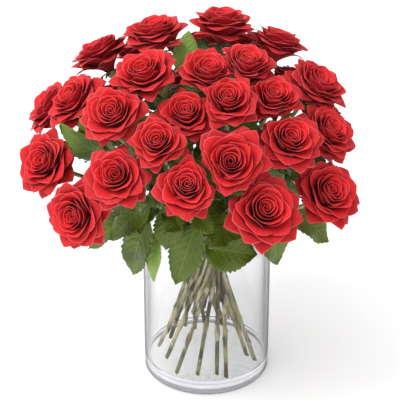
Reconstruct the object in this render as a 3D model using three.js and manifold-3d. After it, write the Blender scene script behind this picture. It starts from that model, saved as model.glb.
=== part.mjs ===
// Roses in a clear glass cylinder vase: a domed, hand-tied bouquet of open red roses.
// Millimetres, +Z up. The origin is the middle of the vase's foot, and -Y is the bouquet's front.
//
// Each rose is two pieces: a red bloom, and a leafy stem with its hip, sepals and leaves.
// The stems cross in a spiral at the binding and fan out to a dome. The outer ones stand on the vase's
// floor, and the inner ones were cut shorter.
import * as THREE from "three";
import Module from "manifold-3d";

const wasm = await Module();
wasm.setup();
const { Manifold, Mesh: SolidMesh } = wasm;

// ---------------------------------------------------------------- driving dimensions
const VASE_RADIUS = 75;
const VASE_HEIGHT = 200;
const WALL = 4;
const FLOOR = 12;
const FOOT_ROUND = 5;
const VASE_SIDES = 36;

const WATER_LEVEL = 20;
const WATER_GAP = 0.4; // between the water and the glass or a stem

const BINDING_HEIGHT = 148; // where the stems cross
const BINDING_RADIUS = 17; // of the outermost stem's middle there
const TWIST = THREE.MathUtils.degToRad(80); // from the binding to the dome
const FOOT_RADIUS = 64; // of the outermost stem's middle on the floor
const FOOT_SPREAD = 0.45; // under 1, so that the inner stems fan out too
const STANDING = 0.6; // stems less far out in the bunch than this share of its reach are cut shorter
const SHORT_ENDS = [72, 128]; // where the shorter stems end, from the bunch's edge to its middle
const STEM_RADIUS = 2.6;
const STEM_SIDES = 5;
const STEM_PITCH = 6.1; // least distance between two stems' middles at the binding
const PAIR_PITCH = 4; // the same between the two stems of a pair
const SEAT_GAP = 0.3; // between a stem and the floor or bloom that it touches
const HOLE_RADIUS = 4.4;
const HOLE_SIDES = 4;

const HIP_LENGTH = 10;
const HIP_RADIUS = 5.5;
const SEPALS = 5;
const SEPAL_REACH = 19;

const DOME_CENTRE = new THREE.Vector3(-12, 0, 255);
const DOME_RADIUS = 195; // to the middle of a bloom's face
const AIM = new THREE.Vector3(0, 0, 140); // blooms face away from here
const BLOOM_DEPTH = 0.62; // from the stalk to the middle of the face, as a share of the width
const BLOOM_REACH = 0.56; // of the outermost petals' tips, as a share of the width
const BLOOM_GAP = 1.2; // between neighbouring blooms
const PETAL_EDGE = 1.1; // thickness of a petal's rim
const ROW_TWIST = THREE.MathUtils.degToRad(31); // from one row of petals to the next
const SQUEEZE_HEIGHTS = [0.47, 0.35]; // where a bloom's neighbours are felt, as shares of its width

const LEAF_THICKNESS = 0.9;
const LEAF_KEEL = 0.2; // how far a blade's sides rise from its rib, as a share of their reach
const LEAF_ARCH = 0.14; // how far the rib bows outwards, as a share of its length
const LEAF_FACES_UP = 0.6;
const STALK_RADIUS = 1.3;

// Each rose: where its face is on the dome (azimuth from the front, positive to the right; height angle;
// how far it stands proud), its width, how far it is turned sideways and tilted up from facing straight
// out, and how far its petals are spun about its own axis. Angles in degrees, lengths in mm.
const ROSES = [
  // low row, round the front
  { azimuth: -71, height: 16, proud: 0, width: 68, turn: 26, tilt: -4, spin: 10 },
  { azimuth: -44, height: 7, proud: 5, width: 70, turn: 12, tilt: -18, spin: 47 },
  { azimuth: -3, height: 26, proud: 3, width: 66, turn: 4, tilt: -2, spin: 36 },
  { azimuth: 23, height: 17, proud: 8, width: 76, turn: 2, tilt: 0, spin: 58 },
  { azimuth: 52, height: 14, proud: 3, width: 72, turn: -8, tilt: 0, spin: 22 },
  // middle row
  { azimuth: -97, height: 26, proud: 6, width: 66, turn: 10, tilt: -8, spin: 5 },
  { azimuth: -29, height: 26, proud: 5, width: 66, turn: 12, tilt: -4, spin: 64 },
  { azimuth: -16, height: 39, proud: 3, width: 62, turn: 6, tilt: -4, spin: 18 },
  { azimuth: 12, height: 32, proud: 10, width: 74, turn: -8, tilt: -14, spin: 51 },
  { azimuth: 41, height: 36, proud: 0, width: 68, turn: -10, tilt: -4, spin: 30 },
  { azimuth: 68, height: 30, proud: -3, width: 64, turn: -6, tilt: -6, spin: 2 },
  // upper row
  { azimuth: -80, height: 39, proud: -5, width: 66, turn: 12, tilt: -6, spin: 40 },
  { azimuth: -39, height: 44, proud: 8, width: 68, turn: 16, tilt: -10, spin: 68 },
  { azimuth: -6, height: 52, proud: -16, width: 62, turn: 0, tilt: -6, spin: 25 },
  { azimuth: 16, height: 53, proud: 5, width: 64, turn: -10, tilt: -6, spin: 55 },
  { azimuth: 45, height: 51, proud: -3, width: 62, turn: -12, tilt: -4, spin: 12 },
  { azimuth: 87, height: 42, proud: 0, width: 68, turn: -14, tilt: -6, spin: 33 },
  // crown
  { azimuth: -41, height: 62, proud: 0, width: 68, turn: 0, tilt: -2, spin: 60 },
  { azimuth: 12, height: 68, proud: -8, width: 64, turn: 0, tilt: -4, spin: 8 },
  { azimuth: 47, height: 66, proud: -3, width: 64, turn: 0, tilt: -2, spin: 44 },
  // behind the crown
  { azimuth: -118, height: 73, proud: -3, width: 66, turn: 0, tilt: 2, spin: 28 },
  { azimuth: -114, height: 49, proud: 0, width: 66, turn: 0, tilt: -2, spin: 50 },
  { azimuth: 152, height: 70, proud: 0, width: 68, turn: 0, tilt: 2, spin: 70 },
  { azimuth: 121, height: 54, proud: 0, width: 66, turn: 0, tilt: -2, spin: 15 },
  // down the back
  { azimuth: 150, height: 44, proud: -10, width: 68, turn: 0, tilt: -4, spin: 32 },
  { azimuth: 132, height: 26, proud: -8, width: 68, turn: 0, tilt: -4, spin: 66 },
  { azimuth: 180, height: 39, proud: -10, width: 70, turn: 0, tilt: -4, spin: 62 },
  { azimuth: 158, height: 20, proud: -8, width: 68, turn: 0, tilt: -4, spin: 20 },
  { azimuth: -150, height: 42, proud: -10, width: 68, turn: 0, tilt: -4, spin: 26 },
  { azimuth: -124, height: 20, proud: -8, width: 70, turn: 0, tilt: -4, spin: 4 },
  { azimuth: 106, height: 24, proud: -16, width: 66, turn: 0, tilt: -4, spin: 38 },
  { azimuth: 120, height: 4, proud: -8, width: 70, turn: 0, tilt: -6, spin: 57 },
  { azimuth: -176, height: 15, proud: -8, width: 70, turn: 0, tilt: -4, spin: 48 },
  { azimuth: 167, height: 2, proud: -10, width: 68, turn: 0, tilt: -6, spin: 12 },
  { azimuth: -150, height: 17, proud: -8, width: 68, turn: 0, tilt: -4, spin: 54 },
  { azimuth: -137, height: 3, proud: -8, width: 68, turn: 0, tilt: -6, spin: 35 },
];
const FIRST_PAIRED = 8; // from this rose on, each two stems are pressed into one body at the binding

// Each leaf: the points [x, y, z] where its blade starts and ends, its width, and the way [x, y] that its
// upper side faces if not straight out from the vase.
const LEAVES = [
  // hanging in front of the rim, from left to right
  { base: [-64, -70, 240], tip: [-84, -74, 166], width: 50 },
  { base: [-54, -74, 226], tip: [-60, -84, 164], width: 22 },
  { base: [-84, -60, 236], tip: [-134, -62, 194], width: 38 },
  { base: [-60, -84, 268], tip: [-106, -92, 222], width: 40 },
  { base: [-34, -80, 262], tip: [-46, -96, 212], width: 38 },
  { base: [-10, -80, 238], tip: [-34, -88, 163], width: 42 },
  { base: [-4, -84, 208], tip: [56, -94, 205], width: 50 },
  { base: [-2, -100, 249], tip: [40, -126, 246], width: 38 },
  { base: [66, -78, 244], tip: [78, -84, 186], width: 46 },
  { base: [92, -70, 246], tip: [138, -62, 203], width: 42 },
  // in the gaps between blooms
  { base: [-108, -62, 308], tip: [-160, -62, 350], width: 34 },
  { base: [-100, -66, 318], tip: [-138, -70, 364], width: 32 },
  { base: [-26, 0, 380], tip: [-20, 14, 428], width: 30, faces: [0, -1] },
  { base: [-16, 22, 374], tip: [-2, 42, 408], width: 28, faces: [0, -1] },
  { base: [-50, -56, 352], tip: [-66, -92, 392], width: 34 },
  { base: [28, -74, 350], tip: [56, -98, 361], width: 32 },
  { base: [58, -80, 298], tip: [78, -118, 320], width: 30 },
  { base: [106, -48, 292], tip: [129, -77, 313], width: 28 },
  { base: [80, -76, 276], tip: [96, -116, 298], width: 26 },
  { base: [-52, -88, 294], tip: [-62, -126, 318], width: 28 },
  { base: [8, -96, 286], tip: [14, -140, 300], width: 32 },
  // round the sides and back
  { base: [112, -10, 262], tip: [150, 6, 240], width: 36 },
  { base: [-104, 54, 268], tip: [-142, 78, 250], width: 38 },
  { base: [34, 96, 260], tip: [54, 140, 256], width: 36 },
  { base: [84, 34, 240], tip: [124, 34, 186], width: 46 },
  { base: [70, 80, 238], tip: [86, 110, 184], width: 48 },
  { base: [10, 92, 240], tip: [22, 112, 172], width: 50 },
  { base: [2, 94, 234], tip: [-28, 116, 190], width: 36 },
  { base: [-74, 74, 242], tip: [-100, 92, 182], width: 48 },
  { base: [-96, 20, 240], tip: [-138, 14, 190], width: 44 },
];

const RED = { color: 0xc8101c, roughness: 0.6, metalness: 0 };
const GREEN = { color: 0x3d6b22, roughness: 0.55, metalness: 0 };
const CLEAR = { color: 0xeef2f2, roughness: 0.05, metalness: 0, transparent: true, opacity: 0.35 };
const WET = { color: 0xe4ecec, roughness: 0.02, metalness: 0, transparent: true, opacity: 0.3 };

// ---------------------------------------------------------------- small helpers
const rad = THREE.MathUtils.degToRad;
const TURN = 2 * Math.PI;

// A direction from its azimuth (0 is the front, -Y, and positive is to the right) and height angle.
function direction(azimuth, height) {
  const a = rad(azimuth);
  const h = rad(height);
  return new THREE.Vector3(Math.sin(a) * Math.cos(h), -Math.cos(a) * Math.cos(h), Math.sin(h));
}

// A closed solid from triangles that share vertices, turned to face out.
function solidFrom(points, triangles) {
  const flat = new Float32Array(points.flatMap((p) => [p.x, p.y, p.z]));
  const build = (tris) =>
    new Manifold(new SolidMesh({ numProp: 3, vertProperties: flat, triVerts: new Uint32Array(tris.flat()) }));
  const solid = build(triangles);
  return solid.volume() > 0 ? solid : build(triangles.map(([a, b, c]) => [a, c, b]));
}

// Skins a list of rings into one closed solid. A ring is a list of { at, angle } in rising angle round the
// same axis, and neighbouring rings may have different counts. The first and last rings are filled flat.
function skin(rings) {
  const points = [];
  const triangles = [];
  const numbered = rings.map((places) => places.map(({ at, angle }) => ({ n: points.push(at) - 1, angle })));
  const placeIn = (places, i) => ({
    n: places[i % places.length].n,
    angle: places[i % places.length].angle + (i < places.length ? 0 : TURN),
  });
  for (let k = 0; k + 1 < numbered.length; k++) {
    const [lower, upper] = [numbered[k], numbered[k + 1]];
    let [i, j] = [0, 0];
    while (i < lower.length || j < upper.length) {
      const [a, b] = [placeIn(lower, i), placeIn(upper, j)];
      const [nextA, nextB] = [placeIn(lower, i + 1), placeIn(upper, j + 1)];
      const lowerFirst = a.angle + nextA.angle <= b.angle + nextB.angle;
      if (j >= upper.length || (i < lower.length && lowerFirst)) {
        triangles.push([a.n, nextA.n, b.n]);
        i++;
      } else {
        triangles.push([a.n, nextB.n, b.n]);
        j++;
      }
    }
  }
  const fill = (places) => {
    for (let i = 1; i + 1 < places.length; i++) triangles.push([places[0].n, places[i].n, places[i + 1].n]);
  };
  fill(numbered[0].slice().reverse());
  fill(numbered[numbered.length - 1]);
  return solidFrom(points, triangles);
}

// Evenly spaced places round a ring, each made by at(angle).
function ring(count, start, at) {
  return Array.from({ length: count }, (_, i) => {
    const angle = start + (i * TURN) / count;
    return { at: at(angle, i), angle };
  });
}

// A round section square to the tube's run, turned so that its first point lies towards side.
function section(middle, run, side, radius, count) {
  const across = side.clone().addScaledVector(run, -side.dot(run) / run.lengthSq()).setLength(radius);
  const other = run.clone().normalize().cross(across);
  return ring(count, 0, (angle) =>
    middle.clone().addScaledVector(across, Math.cos(angle)).addScaledVector(other, Math.sin(angle)),
  );
}

function meshOf(name, solid, finish) {
  const found = solid.getMesh();
  const geometry = new THREE.BufferGeometry();
  geometry.setAttribute("position", new THREE.BufferAttribute(new Float32Array(found.vertProperties), 3));
  geometry.setIndex(new THREE.BufferAttribute(new Uint32Array(found.triVerts), 1));
  const mesh = new THREE.Mesh(geometry, new THREE.MeshStandardMaterial(finish));
  mesh.name = name;
  return mesh;
}

// ---------------------------------------------------------------- where each rose is
const roses = ROSES.map((rose, number) => {
  const face = direction(rose.azimuth, rose.height)
    .multiplyScalar(DOME_RADIUS + rose.proud)
    .add(DOME_CENTRE);
  const out = face.clone().sub(AIM);
  const outAzimuth = THREE.MathUtils.radToDeg(Math.atan2(out.x, -out.y));
  const outHeight = THREE.MathUtils.radToDeg(Math.asin(out.z / out.length()));
  const facing = direction(outAzimuth + rose.turn, outHeight + rose.tilt);
  const depth = rose.width * BLOOM_DEPTH;
  const neck = face.clone().addScaledVector(facing, -depth);
  const side = new THREE.Vector3(0, 0, 1).cross(facing).normalize();
  const up = facing.clone().cross(side);
  const middle = face.clone().addScaledVector(facing, -0.35 * depth);
  return { ...rose, number, face, facing, side, up, neck, depth, middle };
});

// A place in a rose's own frame: angle round its axis, distance from the axis and height above the stalk.
function inRose(rose, angle, radius, height) {
  return rose.neck
    .clone()
    .addScaledVector(rose.side, Math.cos(angle) * radius)
    .addScaledVector(rose.up, Math.sin(angle) * radius)
    .addScaledVector(rose.facing, height);
}

// How far a petal can reach sideways at this angle and height before it meets a neighbouring bloom.
function roomFor(rose, angle, height) {
  const start = inRose(rose, 0, 0, height);
  const way = inRose(rose, angle, 1, height).sub(start);
  let room = rose.width;
  for (const other of roses) {
    if (other === rose) continue;
    const between = other.middle.clone().sub(rose.middle);
    const distance = between.length();
    if (distance > (rose.width + other.width) * 0.75) continue;
    between.normalize();
    const share = (distance * rose.width) / (rose.width + other.width) - BLOOM_GAP / 2;
    const speed = way.dot(between);
    if (speed <= 0.05) continue;
    const used = start.clone().sub(rose.middle).dot(between);
    room = Math.min(room, (share - used) / speed);
  }
  return room;
}

// ---------------------------------------------------------------- bloom
// Rows of petals from the heart outwards, as shares of the bloom's width: the radius and height of a row's
// rim, how far its pointed tips stand out and rise, how far each petal laps over the next, and how far its
// edge drops outwards if the row stands free of the body. Then the hollow outside each row.
const PETAL_ROWS = [
  { petals: 3, radius: 0.15, height: 0.59, tip: 0.01, rise: 0.015, lap: 0.03 },
  { petals: 5, radius: 0.3, height: 0.555, tip: 0.03, rise: 0.01, lap: 0.035, drop: 0.01 },
  { petals: 5, radius: 0.45, height: 0.47, tip: 0.08, rise: -0.01, lap: 0.03, drop: 0.015 },
  { petals: 5, radius: 0.475, height: 0.36, tip: 0.085, rise: -0.02, lap: 0.02 },
];
const HOLLOWS = [
  [0.21, 0.49],
  [0.34, 0.42],
  [0.38, 0.34],
  [0.24, 0.16],
];
const HEART = [0.085, 0.5];
const STALK_END = [0.085, 0];

function bloom(rose) {
  const size = rose.width;
  const place = (angle, radius, height) => {
    const room = Math.min(...SQUEEZE_HEIGHTS.map((level) => roomFor(rose, angle, level * size)));
    const squeeze = Math.min(1, room / (BLOOM_REACH * size));
    const share = Math.min(1, radius / 0.5) ** 1.6;
    return inRose(rose, angle, radius * size * (1 - (1 - squeeze) * share), height * size);
  };
  const spin = rad(rose.spin);
  const fiveAt = ([radius, height], start) => ring(5, start, (angle) => place(angle, radius, height));
  const rings = [fiveAt(HEART, spin)];
  PETAL_ROWS.forEach((row, k) => {
    const pitch = TURN / row.petals;
    const start = spin + k * ROW_TWIST;
    const rim = (inset, drop) =>
      Array.from({ length: row.petals * 3 }, (_, i) => {
        const side = (i % 3) - 1;
        const point = 1 - Math.abs(side);
        const angle = start + (Math.floor(i / 3) + side * 0.44) * pitch;
        const radius = row.radius + row.tip * point - row.lap * side + inset;
        return { at: place(angle, radius, row.height + row.rise * point - drop), angle };
      });
    rings.push(rim(0, 0));
    if (row.drop) rings.push(rim(PETAL_EDGE / size, row.drop));
    rings.push(fiveAt(HOLLOWS[k], start));
  });
  rings.push(fiveAt(STALK_END, spin));
  return skin(rings);
}

// ---------------------------------------------------------------- stems
// Stems keep their order from the floor to the dome. At the binding each has a place in a small disc: the
// dome flattened, spun back by the twist, and spread until no two are closer than the pitch, except that
// the two of a pair are pressed together.
const partnerOf = (number) => (number < FIRST_PAIRED ? -1 : number ^ 1);
const bindingPlaces = roses.map((rose) => {
  const out = rose.face.clone().sub(DOME_CENTRE);
  const polar = Math.atan2(Math.hypot(out.x, out.y), out.z);
  const angle = Math.atan2(out.y, out.x) - TWIST;
  const radius = BINDING_RADIUS * Math.min(1, polar / rad(80));
  return new THREE.Vector2(Math.cos(angle), Math.sin(angle)).multiplyScalar(radius);
});
for (let round = 0; round < 300; round++) {
  for (let i = 0; i < bindingPlaces.length; i++) {
    for (let j = i + 1; j < bindingPlaces.length; j++) {
      const paired = partnerOf(i) === j;
      const apart = bindingPlaces[j].clone().sub(bindingPlaces[i]);
      const short = (paired ? PAIR_PITCH : STEM_PITCH) - apart.length();
      if (short <= 0 && !paired) continue;
      apart.normalize().multiplyScalar(short / 2);
      bindingPlaces[j].add(apart);
      bindingPlaces[i].sub(apart);
    }
  }
}
const widestPlace = Math.max(...bindingPlaces.map((place) => place.length()));
const outness = (number) => bindingPlaces[number].length() / widestPlace;

// Below the binding every stem is one straight line of a spiral: its place swung sideways as it goes down.
function spiralPlace(number, z) {
  const place = bindingPlaces[number];
  const reach = FOOT_RADIUS * outness(number) ** FOOT_SPREAD;
  const footSwing = Math.sqrt(reach ** 2 - place.lengthSq()) / place.length();
  const swing = (footSwing * (z - BINDING_HEIGHT)) / (BINDING_HEIGHT - FLOOR);
  return new THREE.Vector3(place.x - swing * place.y, place.y + swing * place.x, z);
}

// The stems inside the bunch, and the inner one of each pair, were cut shorter and end above the water.
function isShort(number) {
  const partner = partnerOf(number);
  return outness(number) < STANDING || (partner >= 0 && outness(number) < outness(partner));
}

// The height of a foot's middle, for a stem whose unit direction is slope.
function footHeight(number, slope) {
  if (isShort(number)) return THREE.MathUtils.lerp(SHORT_ENDS[1], SHORT_ENDS[0], outness(number));
  return FLOOR + SEAT_GAP + STEM_RADIUS * Math.sqrt(1 - slope.z ** 2);
}

// Each stem's middle line: its foot, its place at the binding, three places on the way up, and its top.
const stemLines = roses.map((rose) => {
  const bound = spiralPlace(rose.number, BINDING_HEIGHT);
  const slope = bound.clone().sub(spiralPlace(rose.number, FLOOR)).normalize();
  const foot = spiralPlace(rose.number, footHeight(rose.number, slope));
  const top = rose.neck.clone().addScaledVector(rose.facing, -HIP_LENGTH);
  const reach = top.distanceTo(bound);
  const curve = new THREE.CubicBezierCurve3(
    bound,
    bound.clone().addScaledVector(slope, reach * 0.42),
    top.clone().addScaledVector(rose.facing, -reach * 0.3),
    top,
  );
  return [foot, bound, curve.getPoint(0.25), curve.getPoint(0.5), curve.getPoint(0.75), top];
});

// Moves a place a share of the way along one stretch of a stem's line, but neither its top nor its
// binding. A foot slides level, and stays inside the vase.
function shift(line, stretch, share, by) {
  if (stretch === 0) {
    const foot = new THREE.Vector3(by.x, by.y, 0).multiplyScalar(1 - share).add(line[0]);
    line[0].copy(foot.setZ(0).clampLength(0, FOOT_RADIUS).setZ(line[0].z));
    return;
  }
  if (stretch > 1) line[stretch].addScaledVector(by, 1 - share);
  if (stretch < 4) line[stretch + 1].addScaledVector(by, share);
}

// Where two stems would cross, both are bent aside. Each stretch of a line is tried at its quarters.
const spot = new THREE.Vector3();
for (let round = 0; round < 40; round++) {
  for (const [i, line] of stemLines.entries()) {
    for (const [j, other] of stemLines.entries()) {
      if (i === j || partnerOf(i) === j) continue;
      for (let step = 0; step < 20; step++) {
        const k = Math.floor(step / 4);
        const share = (step % 4) / 4 + (k > 0 ? 0.25 : 0);
        for (let m = 0; m < 5; m++) {
          const here = line[k].clone().lerp(line[k + 1], share);
          const stretch = new THREE.Line3(other[m], other[m + 1]);
          const along = stretch.closestPointToPointParameter(here, true);
          const apart = here.clone().sub(stretch.at(along, spot));
          const short = STEM_PITCH - apart.length();
          if (short <= 0) continue;
          apart.normalize().multiplyScalar(short / 2);
          shift(line, k, share, apart);
          shift(other, m, along, apart.negate());
        }
      }
    }
  }
}
for (const [number, [foot, bound]] of stemLines.entries()) {
  foot.z = footHeight(number, bound.clone().sub(foot).normalize());
}

// A stem from its foot to the bloom, swelling into the hip, with five pointed sepals bent back below it.
function stemWithHip(rose) {
  const line = stemLines[rose.number];
  const sections = line.map((middle, k) => {
    const [before, after] = [line[Math.max(0, k - 1)], line[k + 1] ?? rose.neck];
    return section(middle, after.clone().sub(before), rose.side, STEM_RADIUS, STEM_SIDES);
  });
  const star = (tip, valley, tipHeight, valleyHeight) =>
    ring(SEPALS * 2, 0, (angle, i) =>
      i % 2 ? inRose(rose, angle, valley, valleyHeight) : inRose(rose, angle, tip, tipHeight),
    );
  return skin([
    ...sections,
    ring(STEM_SIDES, 0, (angle) => inRose(rose, angle, HIP_RADIUS, -HIP_LENGTH * 0.5)),
    star(SEPAL_REACH, HIP_RADIUS, -4.4, -3),
    star(SEPAL_REACH, HIP_RADIUS, -3.4, -1),
    ring(STEM_SIDES, 0, (angle) => inRose(rose, angle, HIP_RADIUS * 0.8, -SEAT_GAP)),
  ]);
}

// ---------------------------------------------------------------- leaves
// A leaflet's margin as shares of its length and of its half width, stepping out and in for its teeth.
const MARGIN = [
  [0.06, 0.3],
  [0.24, 0.84],
  [0.3, 0.76],
  [0.5, 1],
  [0.56, 0.84],
  [0.8, 0.56],
];
// The corners of a blade's section in order round its rib: [side, face].
const BLADE_CORNERS = [[1, 1], [1, -1], [0, -1], [-1, -1], [-1, 1], [0, 1]];

// A stalk from root to base, which widens into a toothed blade, keeled along an arched rib, with its upper
// side facing outwards and up.
function leaf(root, base, tip, width, faces = [base.x + tip.x, base.y + tip.y]) {
  const along = tip.clone().sub(base);
  const facing = new THREE.Vector3(...faces, 0).normalize().setZ(LEAF_FACES_UP);
  const across = along.clone().cross(facing).normalize();
  const top = across.clone().cross(along).normalize();
  const crest = base.clone().lerp(tip, 0.5).addScaledVector(top, along.length() * LEAF_ARCH);
  const rib = new THREE.QuadraticBezierCurve3(base, crest, tip);
  const corner = (t, side, face) => {
    const lift = Math.abs(side) * LEAF_KEEL + (face * LEAF_THICKNESS) / 2;
    return rib.getPoint(t).addScaledVector(across, side).addScaledVector(top, lift);
  };
  const blade = MARGIN.map(([t, share]) =>
    BLADE_CORNERS.map(([side, face], k) => ({
      at: corner(t, (side * share * width) / 2, face),
      angle: ((k - 0.5) * TURN) / BLADE_CORNERS.length,
    })),
  );
  const point = [-1, 1].map((face) => ({ at: corner(1, 0, face), angle: rad(180 + face * 90) }));
  const stalk = [root, base].map((end) => section(end, base.clone().sub(root), across, STALK_RADIUS, 3));
  return skin([...stalk, ...blade, point]);
}

// The nearest stem to a leaf's base, and the place on it that the leaf's stalk grows from.
function stemFor(base) {
  let best = { distance: Infinity };
  for (const [number, line] of stemLines.entries()) {
    for (let k = 1; k < 5; k++) {
      const stretch = new THREE.Line3(line[k], line[k + 1]);
      const place = stretch.closestPointToPoint(base, true, new THREE.Vector3());
      const distance = place.distanceTo(base);
      if (distance < best.distance) best = { distance, number, place };
    }
  }
  return best;
}

const leaves = LEAVES.map(({ base, tip, width, faces }) => {
  const start = new THREE.Vector3(...base);
  const { number, place } = stemFor(start);
  return { number, solid: leaf(place, start, new THREE.Vector3(...tip), width, faces) };
});

// Joins solids into one, without the loose scraps that a join can leave.
function joined(solids) {
  const bodies = Manifold.union(solids).decompose();
  return bodies.reduce((largest, body) => (body.volume() > largest.volume() ? body : largest));
}

// Stems as one solid, each with its hip, sepals and leaves.
function leafyStems(...numbers) {
  const own = leaves.filter(({ number }) => numbers.includes(number));
  return joined([...numbers.map((number) => stemWithHip(roses[number])), ...own.map(({ solid }) => solid)]);
}

// ---------------------------------------------------------------- vase and water
function turned(profile, sides) {
  const geometry = new THREE.LatheGeometry(profile.map(([r, z]) => new THREE.Vector2(r, z)), sides);
  geometry.rotateX(Math.PI / 2);
  const points = [];
  const triangles = [];
  const index = new Map();
  const at = geometry.getAttribute("position");
  const number = (i) => {
    const key = [at.getX(i), at.getY(i), at.getZ(i)].map((v) => Math.round(v * 1000)).join();
    if (!index.has(key)) index.set(key, points.push(new THREE.Vector3().fromBufferAttribute(at, i)) - 1);
    return index.get(key);
  };
  for (let i = 0; i < geometry.index.count; i += 3) {
    const corners = [0, 1, 2].map((k) => number(geometry.index.getX(i + k)));
    if (new Set(corners).size === 3) triangles.push(corners);
  }
  return solidFrom(points, triangles);
}

function vase() {
  const inner = VASE_RADIUS - WALL;
  return turned(
    [
      [0, 0],
      [VASE_RADIUS - FOOT_ROUND, 0],
      [VASE_RADIUS - FOOT_ROUND * 0.3, FOOT_ROUND * 0.3],
      [VASE_RADIUS, FOOT_ROUND],
      [VASE_RADIUS, VASE_HEIGHT - 1],
      [VASE_RADIUS - WALL / 2, VASE_HEIGHT],
      [inner, VASE_HEIGHT - 1],
      [inner, FLOOR + 2],
      [inner - 2, FLOOR],
      [0, FLOOR],
    ],
    VASE_SIDES,
  );
}

function water() {
  const radius = VASE_RADIUS - WALL - WATER_GAP;
  const body = turned(
    [
      [0, FLOOR + WATER_GAP],
      [radius - 2, FLOOR + WATER_GAP],
      [radius, FLOOR + 2 + WATER_GAP],
      [radius, WATER_LEVEL],
      [0, WATER_LEVEL],
    ],
    VASE_SIDES,
  );
  const standing = roses.filter((rose) => !isShort(rose.number));
  const holes = standing.map((rose) => {
    const [foot, bound] = stemLines[rose.number];
    const at = (z) => foot.clone().lerp(bound, (z - foot.z) / (bound.z - foot.z));
    const [low, high] = [at(FLOOR - 2), at(WATER_LEVEL + 5)];
    const run = high.clone().sub(low);
    return skin([low, high].map((end) => section(end, run, rose.side, HOLE_RADIUS, HOLE_SIDES)));
  });
  return body.subtract(Manifold.union(holes));
}

// ---------------------------------------------------------------- the whole
const bouquet = new THREE.Group();
bouquet.add(meshOf("vase", vase(), CLEAR));
bouquet.add(meshOf("water", water(), WET));
const label = (number) => String(number + 1).padStart(2, "0");
for (const rose of roses) {
  bouquet.add(meshOf(`bloom_${label(rose.number)}`, bloom(rose), RED));
}
for (let n = 0; n < FIRST_PAIRED; n++) {
  bouquet.add(meshOf(`stem_${label(n)}`, leafyStems(n), GREEN));
}
for (let n = FIRST_PAIRED; n < roses.length; n += 2) {
  bouquet.add(meshOf(`stems_${label(n)}_${label(n + 1)}`, leafyStems(n, n + 1), GREEN));
}

export default bouquet;
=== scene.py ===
# Red roses in a clear glass cylinder vase: the glass, a shallow layer of water, 36 open blooms and
# their leafy stems. The frame's nodes give the vase's size; the tables below place each rose and leaf.
# Metres, +Z up, with -Y as the bouquet's front. The two tables are in millimetres and degrees.
import math
import random
from functools import cache

import bpy
import numpy as np
from bpy.props import FloatProperty, FloatVectorProperty, IntProperty, PointerProperty
from bpy.types import Operator, Panel, PropertyGroup
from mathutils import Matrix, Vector


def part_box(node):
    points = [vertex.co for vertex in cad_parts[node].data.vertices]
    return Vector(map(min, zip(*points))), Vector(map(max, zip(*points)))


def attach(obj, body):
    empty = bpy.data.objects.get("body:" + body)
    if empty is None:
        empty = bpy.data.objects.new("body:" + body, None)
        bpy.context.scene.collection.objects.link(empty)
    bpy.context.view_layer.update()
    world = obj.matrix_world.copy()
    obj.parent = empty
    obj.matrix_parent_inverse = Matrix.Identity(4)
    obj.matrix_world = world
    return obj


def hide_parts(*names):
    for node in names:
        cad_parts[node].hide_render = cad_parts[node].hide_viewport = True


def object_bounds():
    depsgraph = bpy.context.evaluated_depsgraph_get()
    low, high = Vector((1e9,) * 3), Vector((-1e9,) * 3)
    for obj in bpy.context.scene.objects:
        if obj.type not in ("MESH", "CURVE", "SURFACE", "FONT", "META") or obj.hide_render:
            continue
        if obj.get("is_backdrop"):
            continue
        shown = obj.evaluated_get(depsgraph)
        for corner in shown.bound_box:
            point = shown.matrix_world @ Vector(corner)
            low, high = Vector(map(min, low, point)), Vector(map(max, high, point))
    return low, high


bl_info = {
    "name": "Roses in a Vase",
    "version": (1, 0, 0),
    "blender": (4, 5, 0),
    "location": "3D View > Sidebar > Roses",
    "description": "Builds a domed bouquet of open red roses in a clear glass cylinder vase",
    "category": "Object",
}

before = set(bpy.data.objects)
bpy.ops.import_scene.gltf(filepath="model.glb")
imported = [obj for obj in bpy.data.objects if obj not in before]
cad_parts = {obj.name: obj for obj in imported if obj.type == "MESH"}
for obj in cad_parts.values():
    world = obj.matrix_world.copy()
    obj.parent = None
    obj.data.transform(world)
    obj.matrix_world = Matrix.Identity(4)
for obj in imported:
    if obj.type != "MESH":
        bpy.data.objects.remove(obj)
CAD_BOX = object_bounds()
VASE_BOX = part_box("vase")
WATER_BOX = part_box("water")

MM = 0.001
TURN = 2 * math.pi

# ---- where the roses are
DOME_CENTRE = np.array((-12, 0, 255)) * MM
DOME_RADIUS = 195 * MM  # to the middle of a bloom's face
AIM = np.array((0, 0, 140)) * MM  # blooms face away from here
BLOOM_DEPTH = 0.62  # from the neck to the middle of the face, as a share of the width
MIDDLE_DEPTH = 0.35  # from the face to the bloom's middle, as a share of its depth
BLOOM_GAP = 1.2 * MM  # between neighbouring blooms
NEIGHBOUR_REACH = 0.75  # blooms further apart, as a share of their widths, do not meet
BLOOM_REACH = 0.56  # of the outermost petals, as a share of the width
SQUEEZE_HEIGHTS = (0.47, 0.35)  # where a bloom feels its neighbours, as shares of its width
SQUEEZE_STEPS = 72
LEAST_SPEED = 0.05  # a petal that nears its neighbour slower than this as it grows doesn't feel it

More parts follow.
